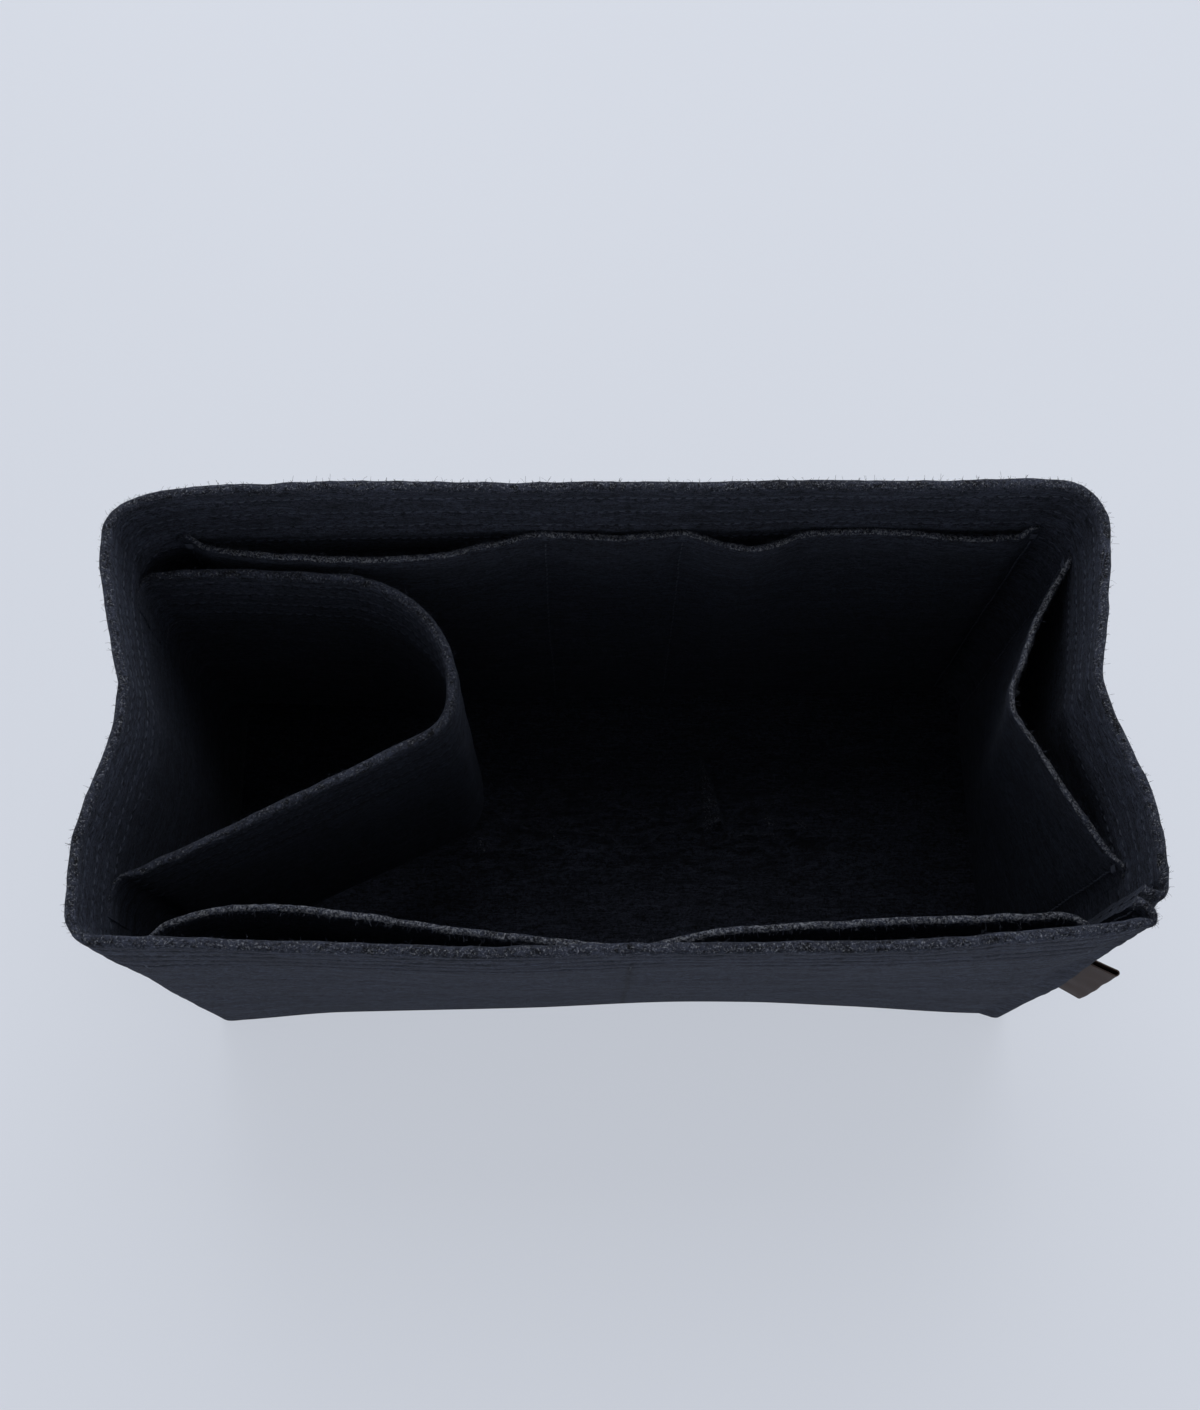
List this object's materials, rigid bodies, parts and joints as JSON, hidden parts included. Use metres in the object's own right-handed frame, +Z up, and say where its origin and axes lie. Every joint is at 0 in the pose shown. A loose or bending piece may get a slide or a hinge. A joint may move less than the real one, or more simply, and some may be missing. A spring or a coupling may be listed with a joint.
{
  "type": "purse organizer insert",
  "caption": "Open-topped soft felt box that stands inside a handbag, with hemmed walls, sewn pockets along three walls, a bottle loop and a folded satin tag.",
  "frame": {"origin": "under the middle of the base panel, on the surface the insert stands on", "axes": "+Z up, +X to the right along the long walls as seen from the front, +Y towards the back wall"},
  "size_m": [0.3085, 0.1424, 0.175],
  "materials": {
    "felt": "matt needled polyester felt, slightly fuzzy",
    "thread": "black polyester sewing thread",
    "satin": "dark brown satin ribbon"
  },
  "bodies": {
    "shell": {"back_wall": "felt", "left_end_wall": "felt", "right_end_wall": "felt", "base_panel": "felt", "back_pocket_strip": "felt", "side_pocket_panel": "felt", "bottle_loop": "felt", "rim_thread_round_1": "thread", "rim_thread_round_2": "thread", "rim_thread_round_3": "thread", "rim_thread_round_4": "thread", "base_thread_round": "thread", "back_pocket_thread_1": "thread", "back_pocket_thread_2": "thread", "back_pocket_thread_3": "thread", "back_pocket_thread_4": "thread", "side_pocket_thread_1": "thread", "side_pocket_thread_2": "thread", "loop_thread_1": "thread", "loop_thread_2": "thread", "loop_thread_3": "thread", "loop_thread_4": "thread", "loop_tab_thread_rear": "thread", "loop_tab_thread_front": "thread"},
    "front": {"front_wall": "felt", "front_pocket_strip": "felt", "rim_thread_front_1": "thread", "rim_thread_front_2": "thread", "rim_thread_front_3": "thread", "rim_thread_front_4": "thread", "base_thread_front": "thread", "corner_seam_thread": "thread", "front_pocket_thread_1": "thread", "front_pocket_thread_2": "thread", "front_pocket_thread_3": "thread"},
    "label": {"label_tag": "satin"}
  },
  "joints": [
    {"name": "fold_flat", "type": "slide", "parent": "shell", "child": "front", "axis": [0, 1, 0], "range_m": [0, 0.08], "stiffness_N_per_m": 30, "deforming": ["left_end_wall", "right_end_wall", "base_panel", "side_pocket_panel", "bottle_loop", "rim_thread_round_1", "rim_thread_round_2", "rim_thread_round_3", "rim_thread_round_4", "base_thread_round", "side_pocket_thread_1", "side_pocket_thread_2", "loop_thread_1", "loop_thread_2", "loop_thread_3", "loop_thread_4", "loop_tab_thread_rear", "loop_tab_thread_front"]},
    {"name": "label_flap", "type": "hinge", "parent": "front", "child": "label", "pos_m": [0.145, -0.0628, 0.086], "axis": [0, 0, 1], "range_deg": [-75, 60], "stiffness_Nm_per_rad": 0.0005, "deforming": ["label_tag"]}
  ]
}
